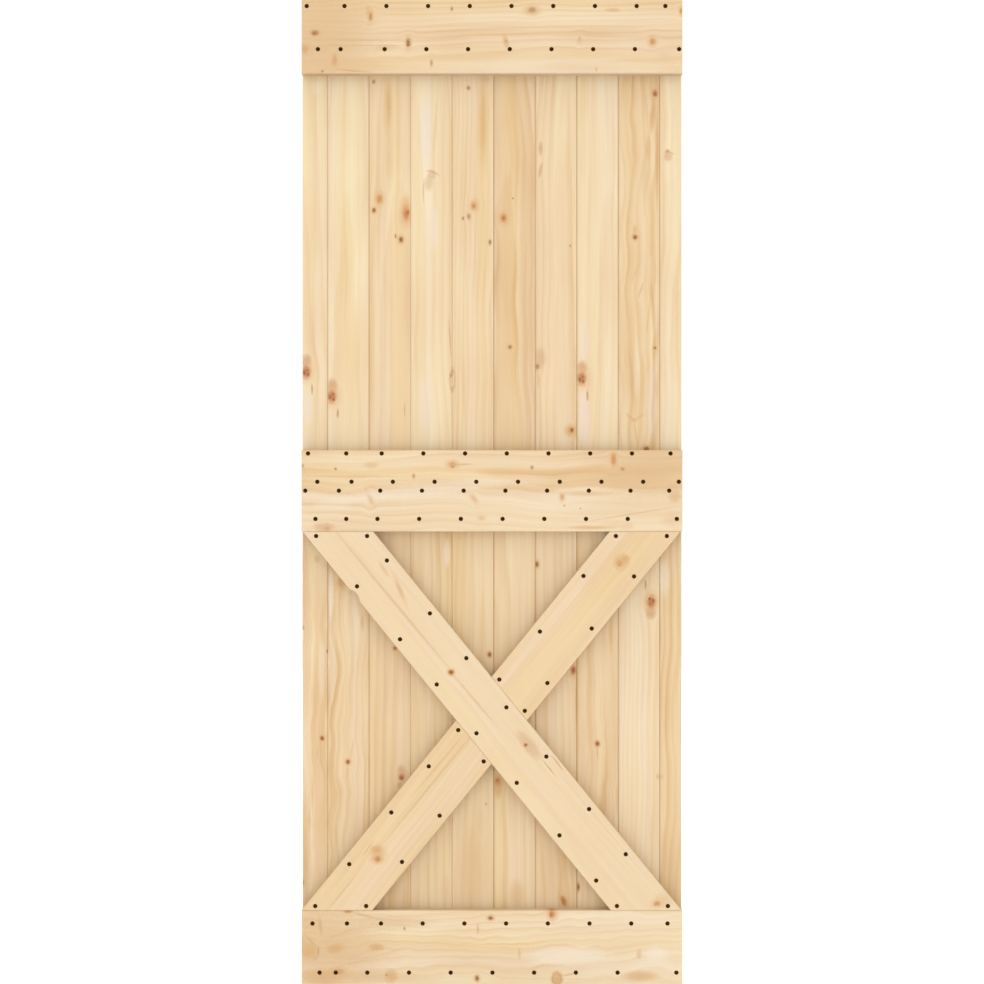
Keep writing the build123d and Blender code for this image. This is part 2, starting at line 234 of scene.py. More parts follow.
RAIL_MARKS = {
    "top_rail": (
        Mark(325, 42, 100, 130, "tan"), Mark(400, 28, 230, 60, "streak", 0.15),
        Mark(642, 28, 95, 60, "pale", 0.15), Mark(369.6, 13, 7, 14, "amber", 0.7, 16),
        Mark(370.4, 17, 4.2, 9, "red", 0.75),
        Mark(315, 33, 8, 5.4, "dark", 0.75), Mark(313.8, 34.2, 3, 2.6, "fleck", 0.6),
        Mark(366, 40, 82, 1.5, "line", 0.5), Mark(368, 45.3, 84, 1.5, "line", 0.5),
        Mark(408.3, 42.7, 4.8, 8.8, "dark", 0.9), Mark(407.5, 45.4, 3, 3, "fleck", 0.7),
        Mark(334.6, 60, 5.5, 12, "orange", 0.55), Mark(322.4, 71.4, 2.5, 2.5, "pin"),
        Mark(305, 49, 8, 8, "orange", 0.5), Mark(323, 50.5, 9, 5, "tan"),
        Mark(355, 71, 36, 1.4, "line", 0.9, -5), Mark(431.5, 63.2, 2.6, 6.5, "dark", 0.7),
        Mark(452, 8.7, 2.5, 3.8, "pin"), Mark(532, 10, 18, 11, "tan", 0.8),
        Mark(532, 10, 8.4, 6.3, "dark", 0.6), Mark(612.4, 10, 14.7, 4, "amber", 0.8),
        Mark(681, 11, 3.2, 6.3, "orange"), Mark(506, 42, 6, 13, "amber", 0.9, 14),
        Mark(386, 47.5, 22, 7, "tan", 0.9), Mark(506, 41, 2, 3.4, "fleck", 0.5),
        Mark(579.6, 38.6, 3.2, 6.3, "red", 0.35), Mark(652.5, 41.5, 6.3, 7.4, "orange"),
        Mark(560, 66, 300, 17, "pale", 0.35), Mark(540, 73.5, 420, 8, "blush", 0.6),
        Mark(596.4, 69.3, 2.1, 5.3, "amber", 0.9), Mark(664, 56.5, 14, 10, "pink", 0.5)),
    "middle_rail": (
        Mark(492, 516, 2200, 52, "pale", 0.35), Mark(648, 472, 115, 46, "tan"),
        Mark(303, 466, 2.1, 4.2, "pin", 0.8), Mark(335.5, 468.8, 2.7, 2.7, "pin"),
        Mark(371.3, 465.3, 14.7, 6.3, "tan"), Mark(462, 464.3, 20, 2.2, "line", 0.6),
        Mark(452.3, 464.5, 9, 6.3, "orange", 0.8), Mark(452.7, 467, 3.4, 2.4, "fleck", 0.6),
        Mark(350, 476.4, 105, 1.6, "line", 0.45), Mark(413.6, 476, 2.8, 5, "red", 0.8),
        Mark(370.2, 498.6, 4.2, 11.5, "orange", 0.6, 26), Mark(474, 498.8, 4.6, 9.5, "orange", 0.5, 38),
        Mark(481.6, 518, 6.3, 4.6, "orange", 0.45), Mark(324.5, 527, 20, 8.4, "root", 0.6),
        Mark(327, 528.4, 6, 4.5, "orange", 0.5), Mark(613.6, 459.4, 5.3, 12.6, "orange"),
        Mark(622.6, 469, 4.2, 3.2, "orange"), Mark(532, 467.4, 3.2, 4.2, "pin", 0.8),
        Mark(625, 505, 120, 26, "tan", 0.45), Mark(430, 489, 210, 15, "pale", 0.45, 6),
        Mark(586, 493.5, 52, 5.5, "tan"), Mark(675, 497, 14, 10, "amber", 0.75),
        Mark(562, 497, 4.2, 6.3, "orange", 0.8), Mark(564.3, 505.7, 2.1, 2.1, "pin", 0.7),
        Mark(580.5, 508.5, 1.7, 1.7, "pin", 0.7), Mark(634.5, 513.5, 95, 1.8, "line", 0.4, 9.6),
        Mark(591, 527.5, 42, 3.6, "amber", 0.8), Mark(628, 526, 12, 8, "pink", 0.6),
        Mark(672, 520, 22, 14, "tan", 0.6), Mark(614, 525, 28, 8, "tan", 0.5),
        Mark(674, 487, 14, 10, "tan", 0.6),
        Mark(332, 505, 40, 12, "pale", 0.25), Mark(535, 481, 50, 10, "pale", 0.25)),
    "bottom_rail": (
        Mark(330, 945, 105, 95, "tan"), Mark(620, 945, 160, 90, "pale", 0.28),
        Mark(566, 956, 95, 19, "pale", 0.75), Mark(656, 954, 27, 15, "pale", 0.7),
        Mark(365, 915.5, 36, 2.6, "line", 0.55, -14), Mark(348, 911.5, 9, 3.4, "red", 0.8),
        Mark(404.4, 928.2, 2.1, 3.8, "pin"), Mark(310, 953, 18, 15, "amber", 0.6),
        Mark(306, 946, 18, 22, "amber", 0.5, 20), Mark(311, 941, 1.5, 21, "line", 0.6, 45),
        Mark(318.2, 951.5, 1.6, 9, "dash", 0.75, -6), Mark(315.5, 958.5, 1.5, 7, "dash", 0.55, -45),
        Mark(320.5, 926, 3.4, 15, "root", 0.55, 6), Mark(352, 930, 2.8, 56, "line", 0.25, 103, 2.5),
        Mark(372, 957, 2.8, 62, "line", 0.25, 100, -2), Mark(352, 963, 2.6, 44, "line", 0.22, 101, 2),
        Mark(335.5, 948.5, 17, 9, "amber", 0.85, 12), Mark(376.4, 947.2, 15, 6.5, "amber"),
        Mark(477.8, 929, 2.2, 11, "amber", 0.9), Mark(490.6, 918, 5.3, 4.2, "dark"),
        Mark(320, 977, 42, 15, "amber", 0.75), Mark(308, 922, 26, 20, "amber", 0.35),
        Mark(372, 977, 95, 10, "tan", 0.8), Mark(396, 922, 72, 14, "tan", 0.8),
        Mark(338.5, 971.6, 12, 6, "orange", 0.7), Mark(391, 976, 12, 14, "amber", 0.8),
        Mark(386.6, 975, 2.2, 2.6, "pin", 0.6), Mark(477, 978.4, 4, 5, "dark"),
        Mark(552.2, 914, 7, 9, "orange"), Mark(551, 914.5, 3.4, 5.5, "fleck", 0.6),
        Mark(519.3, 954, 3.2, 10.5, "amber", 0.6), Mark(639, 954, 5.3, 9.5, "amber", 0.6),
        Mark(569, 974.4, 14, 1.8, "line", 0.7, 10), Mark(556.9, 978.5, 9, 12, "eye"),
        Mark(557.2, 979, 11, 13, "amber"), Mark(640, 976, 34, 10, "amber", 0.85)),
}
BRACE_MARKS = {
    "through_brace": (
        Mark(492, 722, 2200, 2200, "blush", 0.13), Mark(393.5, 601.5, 2.8, 182, "line", 0.5, 39.8),
        Mark(474, 699.5, 2.4, 68, "line", 0.5, 40.6),
        Mark(451, 672.3, 8, 8, "streak", 0.9), Mark(451, 672.3, 4.8, 4.8, "nub"),
        Mark(384, 569.5, 4.6, 18, "tan", 0.9, 34),
        Mark(400, 590, 3.6, 22, "orange", 0.5, 24), Mark(529, 745, 11, 34, "root", 0.6, 40),
        Mark(525.6, 745, 3.3, 3.3, "nub", 0.9), Mark(557.5, 763, 1.6, 19, "line", 0.9, 39),
        Mark(549.9, 769, 1.6, 19, "line", 0.9, 39), Mark(600, 822, 2, 157, "line", 0.22, 40),
        Mark(664, 900, 20, 14, "tan", 0.7), Mark(657, 903.6, 8, 6, "red", 0.75)),
    "upper_half_brace": (
        Mark(621, 562, 15, 16, "amber", 0.6), Mark(625, 559, 8, 9, "amber", 1, -30),
        Mark(619.5, 563, 7, 8, "orange", 0.6),
        Mark(619.3, 564.6, 2.4, 2.4, "pin", 0.5)),
    "lower_half_brace": (
        Mark(425.5, 791.5, 3, 142, "line", 0.5, -39.2), Mark(435.6, 768, 2.6, 80, "line", 0.4, -40),
        Mark(342.5, 892, 2.2, 41, "line", 0.4, -40), Mark(368, 848.5, 1.8, 19, "line", 0.6, -36),
        Mark(378, 854, 18, 17, "amber", 0.55), Mark(376.4, 850, 11, 8, "amber"),
        Mark(377.6, 859, 7.5, 6.5, "orange"), Mark(378.5, 859.5, 2.4, 2.4, "fleck", 0.4)),
}

# Tone of each piece, from pale at 0 to warm at 1
UPPER_TONE_SHARES = (0.35, 0.37, 0.50, 0.33, 0.43, 0.61, 0.39, 0.38, 0.52, 0.40)
LOWER_TONE_SHARES = (0.51, 0.53, 0.62, 0.55, 0.52, 0.49, 0.56, 0.50, 0.38, 0.59)
PIECE_TONE_SHARES = {
    "top_rail": 0.51, "middle_rail": 0.50, "bottom_rail": 0.32,
    "through_brace": 0.41, "upper_half_brace": 0.53, "lower_half_brace": 0.49,
}

# How strongly the grain of each piece shows
UPPER_FIGURE_SHARES = (1.1, 1.1, 1.0, 1.1, 1.0, 1.3, 1.1, 1.1, 1.45, 1.2)
LOWER_FIGURE_SHARES = (1.6, 1.4, 1.0, 1.0, 1.0, 1.0, 1.0, 1.2, 1.0, 1.2)
PIECE_FIGURE_SHARES = {
    "top_rail": 1.2, "middle_rail": 1.35, "bottom_rail": 1.4,
    "through_brace": 0.55, "upper_half_brace": 0.6, "lower_half_brace": 0.6,
}

# How high the ripples stand in the pieces whose grain is curly, in metres
RIPPLE_HEIGHTS = {
    "bottom_rail": 0.03, "lower_board_01": 0.02, "lower_board_02": 0.018, "lower_board_08": 0.016,
    "upper_board_09": 0.012,
}

# Painted shade down the seams: how dark the one on each board's right is, half its width in millimetres,
# its shift in metres
SEAM_SHADE_SHARES = (0.16, 0.26, 0.03, 0.06, 0.34, 0.31, 0.36, 0.36, 0.22)
SEAM_HALF_WIDTH = 2.2
SEAM_SHIFTS = (0.0, -0.0005, 0.0, 0.0, 0.0009, 0.0012, 0.0012, 0.0012, 0.0006)

# How far the grain leans in degrees, half a brace's width, and the rails over each row of boards
BRACE_LEAN = 39.1
BRACE_HALF_WIDTH = 0.0575
RAIL_LEAN = 90.0
PROUD_RAILS = {"upper_board": ("top_rail", "middle_rail"), "lower_board": ("middle_rail", "bottom_rail")}

# Grain: growth rings round a pith behind the face, slow sways, bands of tone and fine fibres
RING_WIDTHS = (0.008, 0.013)
PITH_SIDE = 0.09
PITH_DEPTHS = (0.03, 0.14)
RING_TAPER = 0.012
SWAY_HEIGHT = 0.022
WAVE_HEIGHT = 0.012
FIGURE_WAVE_HEIGHT = 0.075
LEAST_WAVE_HEIGHT = 0.006
BAND_WEIGHT = 0.56
RING_WEIGHT = 0.42
CLOUD_WEIGHT = 0.46
STREAK_WEIGHT = 0.22
FIBRE_WEIGHT = 0.035
FIBRE_LIGHT_WEIGHT = 0.14
RING_RISE = 2.0
RING_EDGE = 10.0
RING_MEAN = 0.12
YELLOW_SPAN = (0.3, 0.7)
STREAK_SPAN = (0.5, 0.8)
SEED_SPAN = (0.0, 100.0)
NOISE_MEAN = 0.5

# The uneven edges and the flecks of the marks
MARK_WOBBLE = 0.0022
WOBBLE_SCALE = 140.0
MARK_FLECK = 0.9
FLECK_SCALE = 420.0
MARK_DETAIL = 2.0

# Layers of noise in the grain: waves to the metre across, through and along it, step of seed, and detail
Layer = namedtuple("Layer", "waves seed_step detail")
WAVE_LAYER = Layer((9.0, 9.0, 5.0), 7.0, 1.0)
RIPPLE_LAYER = Layer((20.0, 20.0, 15.0), 71.0, 1.0)
BAND_LAYER = Layer((26.0, 26.0, 0.8), 0.0, 3.0)
CLOUD_LAYER = Layer((16.0, 16.0, 4.5), 57.0, 1.0)
SWAY_LAYER = Layer((6.0, 6.0, 1.6), 11.0, 2.0)
FIBRE_LAYER = Layer((420.0, 420.0, 9.0), 0.0, 3.0)
YELLOW_LAYER = Layer((28.0, 28.0, 0.7), 23.0, 1.0)
STREAK_LAYER = Layer((120.0, 120.0, 1.2), 41.0, 2.0)
STRENGTH_LAYER = Layer((60.0, 60.0, 1.5), 31.0, 1.0)

# Surface of the wood: its roughness, shine and the height of its grain in metres
PINE_ROUGHNESS = (0.52, 0.68)
PINE_SPECULAR = 0.3
BUMP_STRENGTH = 0.25
BUMP_HEIGHT = 0.0004

# Painted shade on the faces at right angles to the front, which the stronger light from beside the door
# would wash out: what they keep of their colour, and where an edge or an end begins
SIDE_SHADE = (0.80, 0.76, 0.70, 1.0)
SIDE_SHADE_SPAN = (0.95, 0.1)
END_SPAN = (0.75, 0.95)
END_COVER = 0.7

# Shade in the corners beside what stands proud of the boards: light lost there, and its fall in metres
CORNER_SHADE = 0.09
CORNER_REACH = 0.046

# Screws: heads a little proud of the wood, with a cross recess
HEAD_RADIUS = 0.0046
HEAD_PROUD = 0.0002
HEAD_ROUNDING = 0.0003
HEAD_UNDER_RADIUS = 0.0038
NECK_RADIUS = 0.0019
NECK_DEPTH = 0.0024
TIP_LENGTH = 0.004
RECESS_RADIUS = 0.0021
RECESS_DEPTH = 0.0014
RECESS_LOBES = 4
RECESS_LOBE_SHARE = 0.45
RECESS_FLOOR_SHARE = 0.35
RECESS_WALL_SHARE = 0.9
RECESS_WALL_DEPTH_SHARE = 0.75
RECESS_RIM_SHARE = 1.5
HEAD_SPREAD_SHARE = 3
CORNER_DIGITS = 5
SCREW_SEGMENTS = 32
SCREW_COLOUR = (44, 26, 4)
SCREW_WORN = (64, 42, 14)
SCREW_SHEEN = (250, 186, 92)
SCREW_ROUGHNESS = (0.38, 0.6)
SCREW_SPECULAR = 0.3
WEAR_SCALE = 900.0
WEAR_DETAIL = 3.0
WEAR_SPAN = (0.45, 0.75)

# Places of the colour sockets in a Mix node
MIX_FACTOR, MIX_FIRST, MIX_SECOND, MIX_RESULT = 0, 6, 7, 2


def linear(colour):
    """An 8-bit screen colour as linear light."""
    shares = [channel / 255 for channel in colour]
    return [s / 12.92 if s <= 0.04045 else ((s + 0.055) / 1.055) ** 2.4 for s in shares]


def albedo(colour):
    """The surface colour that shows as this screen colour under the room's light."""
    return (*[channel / level for channel, level in zip(linear(colour), LIGHT_LEVELS)], 1.0)


def put(tree, socket, value):
    """Links an output to a socket, or sets the socket to a plain value."""
    if isinstance(value, bpy.types.NodeSocket):
        tree.links.new(value, socket)
    else:
        socket.default_value = value


def add(tree, kind, inputs=(), **settings):
    """A new node with its settings, and with its inputs given by name."""
    node = tree.nodes.new("ShaderNode" + kind)
    for name, value in settings.items():
        setattr(node, name, value)
    for name, value in dict(inputs).items():
        put(tree, node.inputs[name], value)
    return node


def sum_of(tree, operation, *values):
    """The result of one Math node."""
    node = add(tree, "Math", operation=operation)
    for socket, value in zip(node.inputs, values):
        put(tree, socket, value)
    return node.outputs[0]


def vector_of(tree, operation, *values):
    """The result of one Vector Math node."""
    node = add(tree, "VectorMath", operation=operation)
    for socket, value in zip(node.inputs, values):
        put(tree, socket, value)
    return node.outputs["Value" if operation in ("LENGTH", "DOT_PRODUCT") else "Vector"]


def noise(tree, place, layer, seed):
    """Noise from 0 to 1, with the layer's own number of waves to the metre along each axis."""
    stretched = vector_of(tree, "MULTIPLY", place, layer.waves)
    own_seed = sum_of(tree, "ADD", seed, layer.seed_step)
    inputs = {"Vector": stretched, "W": own_seed, "Scale": 1.0, "Detail": layer.detail}
    return add(tree, "TexNoise", inputs, noise_dimensions="4D").outputs[0]


def centred(tree, value):
    """Noise about zero."""
    return sum_of(tree, "SUBTRACT", value, NOISE_MEAN)


def spread(tree, value, low, high, to_low=0.0, to_high=1.0):
    """The value with its range from low to high stretched to a new range, and held inside it."""
    inputs = {"Value": value, "From Min": low, "From Max": high, "To Min": to_low, "To Max": to_high}
    return add(tree, "MapRange", inputs).outputs[0]


def turned(tree, vector, angle):
    """The vector turned about the door's thickness."""
    inputs = {"Vector": vector, "Angle": angle}
    return add(tree, "VectorRotate", inputs, rotation_type="Y_AXIS").outputs[0]


def mix(tree, factor, first, second, blend="MIX"):
    """Two colours mixed by a factor."""
    node = add(tree, "Mix", data_type="RGBA", blend_type=blend)
    put(tree, node.inputs[MIX_FACTOR], factor)
    put(tree, node.inputs[MIX_FIRST], first)
    put(tree, node.inputs[MIX_SECOND], second)
    return node.outputs[MIX_RESULT]


def ramp(tree, factor, stops):
    """A colour ramp node with stops of place, colour and cover."""
    node = add(tree, "ValToRGB", {"Fac": factor})
    elements = node.color_ramp.elements
    while len(elements) < len(stops):
        elements.new(1.0)
    for element, (place, colour, cover) in zip(elements, stops):
        element.position = place
        element.color = (*albedo(colour)[:3], cover)
    return node


def new_group(name, inputs, outputs):
    """A node group with named sockets, and its entry and exit nodes."""
    tree = bpy.data.node_groups.new(name, "ShaderNodeTree")
    for socket, kind in inputs:
        tree.interface.new_socket(socket, in_out="INPUT", socket_type="NodeSocket" + kind)
    for socket, kind in outputs:
        tree.interface.new_socket(socket, in_out="OUTPUT", socket_type="NodeSocket" + kind)
    entry = tree.nodes.new("NodeGroupInput").outputs
    leave = tree.nodes.new("NodeGroupOutput").inputs
    return tree, entry, leave


def use(tree, group, inputs):
    """A group's outputs for these inputs."""
    node = add(tree, "Group", node_tree=group)
    for name, value in inputs.items():
        put(tree, node.inputs[name], value)
    return node.outputs


def mark_group(style, stops):
    """Paints a soft ellipse, leaned and bent, over a colour."""
    inputs = (("Colour", "Color"), ("Place", "Vector"), ("Centre", "Vector"), ("Lean", "Float"),
              ("Shrink", "Vector"), ("Bend", "Float"), ("Cover", "Float"), ("Fleck", "Float"))
    tree, entry, leave = new_group("mark_" + style, inputs, (("Colour", "Color"),))
    offset = vector_of(tree, "SUBTRACT", entry["Place"], entry["Centre"])
    offset = turned(tree, offset, entry["Lean"])
    parts = add(tree, "SeparateXYZ", {"Vector": offset}).outputs
    bow = sum_of(tree, "MULTIPLY", parts["Z"], parts["Z"])
    across = sum_of(tree, "MULTIPLY_ADD", bow, entry["Bend"], parts["X"])
    flat = add(tree, "CombineXYZ", {"X": across, "Z": parts["Z"]}).outputs[0]
    shrunk = vector_of(tree, "MULTIPLY", flat, entry["Shrink"])
    radius = sum_of(tree, "ADD", vector_of(tree, "LENGTH", shrunk), entry["Fleck"])
    shown = ramp(tree, radius, [(place / MARK_REACH, colour, cover) for place, colour, cover in stops])
    cover = sum_of(tree, "MULTIPLY", shown.outputs["Alpha"], entry["Cover"])
    put(tree, leave["Colour"], mix(tree, cover, entry["Colour"], shown.outputs["Color"]))
    return tree


def push_group():
    """Moves grain lines apart round a knot."""
    inputs = (("Place", "Vector"), ("Pushed", "Vector"), ("Centre", "Vector"), ("Shrink", "Vector"))
    tree, entry, leave = new_group("grain_push", inputs, (("Pushed", "Vector"),))
    offset = vector_of(tree, "SUBTRACT", entry["Place"], entry["Centre"])
    shrunk = vector_of(tree, "MULTIPLY", offset, entry["Shrink"])
    square = vector_of(tree, "DOT_PRODUCT", shrunk, shrunk)
    near = sum_of(tree, "EXPONENT", sum_of(tree, "MULTIPLY", square, -1.0))
    across = add(tree, "SeparateXYZ", {"Vector": offset}).outputs["X"]
    shift = sum_of(tree, "MULTIPLY", across, sum_of(tree, "MULTIPLY", near, -KNOT_PUSH))
    shifted = add(tree, "CombineXYZ", {"X": shift}).outputs[0]
    put(tree, leave["Pushed"], vector_of(tree, "ADD", entry["Pushed"], shifted))
    return tree


def waved(tree, place, seed, figure, ripple_height):
    """The place in the grain, shifted across it in waves that are higher where the figure is stronger."""
    wave = noise(tree, place, WAVE_LAYER, seed)
    excess = sum_of(tree, "SUBTRACT", figure, 1.0)
    height = sum_of(tree, "MULTIPLY_ADD", excess, FIGURE_WAVE_HEIGHT, WAVE_HEIGHT)
    height = sum_of(tree, "MAXIMUM", height, LEAST_WAVE_HEIGHT)
    shift = sum_of(tree, "MULTIPLY", centred(tree, wave), height)
    ripple = noise(tree, place, RIPPLE_LAYER, seed)
    shift = sum_of(tree, "MULTIPLY_ADD", centred(tree, ripple), ripple_height, shift)
    return vector_of(tree, "ADD", place, add(tree, "CombineXYZ", {"X": shift}).outputs[0])


def late_wood(tree, place, entry):
    """The dark part of each growth ring, in rings round the pith that sway, taper and fade."""
    sway = noise(tree, place, SWAY_LAYER, entry["Seed"])
    offset = vector_of(tree, "SUBTRACT", place, entry["Pith"])
    flat = vector_of(tree, "MULTIPLY", offset, (1.0, 1.0, 0.0))
    along = add(tree, "SeparateXYZ", {"Vector": place}).outputs["Z"]
    distance = sum_of(tree, "MULTIPLY_ADD", along, RING_TAPER, vector_of(tree, "LENGTH", flat))
    distance = sum_of(tree, "MULTIPLY_ADD", sway, SWAY_HEIGHT, distance)
    phase = sum_of(tree, "FRACT", sum_of(tree, "DIVIDE", distance, entry["Ring"]))
    late = sum_of(tree, "POWER", phase, RING_RISE)
    fade = sum_of(tree, "SUBTRACT", 1.0, sum_of(tree, "POWER", phase, RING_EDGE))
    late = sum_of(tree, "MULTIPLY", late, fade)
    strength = noise(tree, place, STRENGTH_LAYER, entry["Seed"])
    return sum_of(tree, "MULTIPLY", late, strength)


def pine_group():
    """Bare pine, with growth rings round a pith, bands of tone and fine fibres."""
    inputs = (("Place", "Vector"), ("Pith", "Vector"), ("Seed", "Float"), ("Tone", "Float"),
              ("Figure", "Float"), ("Ripple", "Float"), ("Ring", "Float"))
    tree, entry, leave = new_group("bare_pine", inputs, (("Colour", "Color"), ("Height", "Float")))
    seed = entry["Seed"]
    place = waved(tree, entry["Place"], seed, entry["Figure"], entry["Ripple"])
    bands = noise(tree, place, BAND_LAYER, seed)
    clouds = noise(tree, place, CLOUD_LAYER, seed)
    fibre = noise(tree, place, FIBRE_LAYER, seed)
    yellow = spread(tree, noise(tree, place, YELLOW_LAYER, seed), *YELLOW_SPAN)
    streaks = spread(tree, noise(tree, place, STREAK_LAYER, seed), *STREAK_SPAN)
    late = late_wood(tree, place, entry)
    figure = sum_of(tree, "MULTIPLY", sum_of(tree, "SUBTRACT", late, RING_MEAN), RING_WEIGHT)
    figure = sum_of(tree, "MULTIPLY_ADD", centred(tree, bands), BAND_WEIGHT, figure)
    figure = sum_of(tree, "MULTIPLY_ADD", centred(tree, clouds), CLOUD_WEIGHT, figure)
    figure = sum_of(tree, "MULTIPLY_ADD", streaks, STREAK_WEIGHT, figure)
    tone = sum_of(tree, "MULTIPLY_ADD", figure, entry["Figure"], entry["Tone"])
    tone = sum_of(tree, "MULTIPLY_ADD", centred(tree, fibre), FIBRE_WEIGHT, tone)
    stops = [(share, colour, 1.0) for share, colour in zip(PINE_SHARES, PINE_COLOURS)]
    colour = ramp(tree, tone, stops).outputs["Color"]
    tint = (*linear(YELLOW_TINT), 1.0)
    colour = mix(tree, yellow, colour, tint, "MULTIPLY")
    light = sum_of(tree, "MULTIPLY_ADD", centred(tree, fibre), FIBRE_LIGHT_WEIGHT, 1.0)
    put(tree, leave["Colour"], mix(tree, 1.0, colour, light, "MULTIPLY"))
    put(tree, leave["Height"], sum_of(tree, "ADD", fibre, late))
    return tree


def shade_group():
    """Takes light away towards a rail or brace that stands proud of the boards."""
    inputs = (("Shade", "Float"), ("Place", "Vector"), ("Centre", "Vector"), ("Across", "Vector"),
              ("Half", "Float"))
    tree, entry, leave = new_group("corner_shade", inputs, (("Shade", "Float"),))
    offset = vector_of(tree, "SUBTRACT", entry["Place"], entry["Centre"])
    beside = sum_of(tree, "ABSOLUTE", vector_of(tree, "DOT_PRODUCT", offset, entry["Across"]))
    gap = sum_of(tree, "MAXIMUM", sum_of(tree, "SUBTRACT", beside, entry["Half"]), 0.0)
    near = sum_of(tree, "EXPONENT", sum_of(tree, "DIVIDE", gap, -CORNER_REACH))
    kept = sum_of(tree, "MULTIPLY_ADD", near, -CORNER_SHADE, 1.0)
    put(tree, leave["Shade"], sum_of(tree, "MULTIPLY", entry["Shade"], kept))
    return tree


def photo_place(px, py, depth):
    """The point at this depth that the photograph shows at a pixel."""
    middle = PHOTO_SIDE / 2
    scale = PIXEL * (1 + (depth - cad_low.y) / EYE_DISTANCE)
    eye_height = (cad_low.z + cad_high.z) / 2
    return Vector(((px - middle) * scale, depth, eye_height + (middle - py) * scale))


def shrink(half_across, half_along, reach=1.0):
    """The factors that turn an offset into radii, with none for the depth."""
    return (1 / (half_across * reach), 0.0, 1 / (half_along * reach))


def push_grain(tree, local, marks, lean, depth):
    """The place in the grain, moved apart round each knot."""
    pushed = local
    for mark in marks:
        if mark.style not in KNOT_STYLES:
            continue
        centre = Matrix.Rotation(math.radians(lean), 3, "Y") @ photo_place(mark.px, mark.py, depth)
        sizes = (mark.half_wide, mark.half_high)
        across, along = reversed(sizes) if lean == RAIL_LEAN else sizes
        half_across = across * KNOT_PUSH_WIDTH_SHARE / MM_PER_METRE
        half_along = along * KNOT_PUSH_LENGTH_SHARE / MM_PER_METRE
        reach = shrink(half_across, half_along)
        inputs = {"Place": local, "Pushed": pushed, "Centre": centre, "Shrink": reach}
        pushed = use(tree, GROUPS["push"], inputs)["Pushed"]
    return pushed


def paint_marks(tree, colour, place, marks, depth):
    """The colour with each mark painted over it, flecked so that its rings are uneven."""
    inputs = {"Vector": place, "Scale": FLECK_SCALE, "Detail": MARK_DETAIL}
    grit = add(tree, "TexNoise", inputs).outputs[0]
    fleck = sum_of(tree, "MULTIPLY", centred(tree, grit), MARK_FLECK / MARK_REACH)
    for mark in marks:
        inputs = {
            "Colour": colour,
            "Fleck": fleck,
            "Place": place,
            "Centre": photo_place(mark.px, mark.py, depth),
            "Lean": math.radians(mark.lean),
            "Shrink": shrink(mark.half_wide / MM_PER_METRE, mark.half_high / MM_PER_METRE, MARK_REACH),
            "Bend": mark.bend,
            "Cover": mark.cover,
        }
        colour = use(tree, GROUPS[mark.style], inputs)["Colour"]
    return colour


def paint_seam_shade(tree, colour, place, seams):
    """The colour with a dark line of painted shade down each seam, given as its place across and its
    cover.
    """
    middle = (cad_low.z + cad_high.z) / 2
    for across, cover in seams:
        inputs = {
            "Colour": colour,
            "Place": place,
            "Centre": (across, 0.0, middle),
            "Shrink": (MM_PER_METRE / (SEAM_HALF_WIDTH * MARK_REACH), 0.0, 0.0),
            "Cover": cover,
        }
        colour = use(tree, GROUPS["seam"], inputs)["Colour"]
    return colour


def strip_over(names, lean, half):
    """A piece that stands proud of the boards: its middle, the way across it and half its width."""
    corners = [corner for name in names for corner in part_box(name)]
    angle = math.radians(lean)
    return sum(corners, Vector()) / len(corners), (math.cos(angle), 0.0, math.sin(angle)), half


def strips_over(prefix):
    """What stands proud of a row of boards."""
    strips = []
    for rail in PROUD_RAILS[prefix]:
        low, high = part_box(rail)
        strips.append(strip_over((rail,), RAIL_LEAN, (high.z - low.z) / 2))
    if prefix == "lower_board":
        strips.append(strip_over(("through_brace",), BRACE_LEAN, BRACE_HALF_WIDTH))
        strips.append(strip_over(("upper_half_brace", "lower_half_brace"), -BRACE_LEAN, BRACE_HALF_WIDTH))
    return strips


def paint_shade(tree, colour, coordinates, strips):
    """The colour of a front face, darker towards each strip that stands proud of it."""
    shade = 1.0
    for centre, across, half in strips:
        inputs = {
            "Shade": shade,
            "Place": coordinates["Object"],
            "Centre": centre,
            "Across": across,
            "Half": half,
        }
        shade = use(tree, GROUPS["shade"], inputs)["Shade"]
    depth = add(tree, "SeparateXYZ", {"Vector": coordinates["Normal"]}).outputs["Y"]
    facing = spread(tree, depth, 0.0, -1.0)
    return mix(tree, facing, colour, shade, "MULTIPLY")


def paint_side_shade(tree, colour, coordinates):
    """The colour with painted shade, deeper on the edges and ends, against the stronger light from beside
    the door.
    """
    depth = add(tree, "SeparateXYZ", {"Vector": coordinates["Normal"]}).outputs["Y"]
    # How much painted shade a face gets, from 0 on the front or back to 1 on an edge or end
    side = spread(tree, sum_of(tree, "ABSOLUTE", depth), *SIDE_SHADE_SPAN)
    return mix(tree, side, colour, SIDE_SHADE, "MULTIPLY")


def wobbled(tree, place):
    """The place with small shifts, which give a mark an uneven edge."""
    node = add(tree, "TexNoise", {"Vector": place, "Scale": WOBBLE_SCALE, "Detail": MARK_DETAIL})
    shift = vector_of(tree, "SUBTRACT", node.outputs["Color"], (NOISE_MEAN,) * 3)
    return vector_of(tree, "MULTIPLY_ADD", shift, (MARK_WOBBLE,) * 3, place)


def end_cover(tree, coordinates, lean):
    """How far a face cuts across the grain, from 0 on a side to 1 on an end."""
    normal = turned(tree, coordinates["Normal"], math.radians(lean))
    along = add(tree, "SeparateXYZ", {"Vector": normal}).outputs["Z"]
    return spread(tree, sum_of(tree, "ABSOLUTE", along), *END_SPAN, to_high=END_COVER)


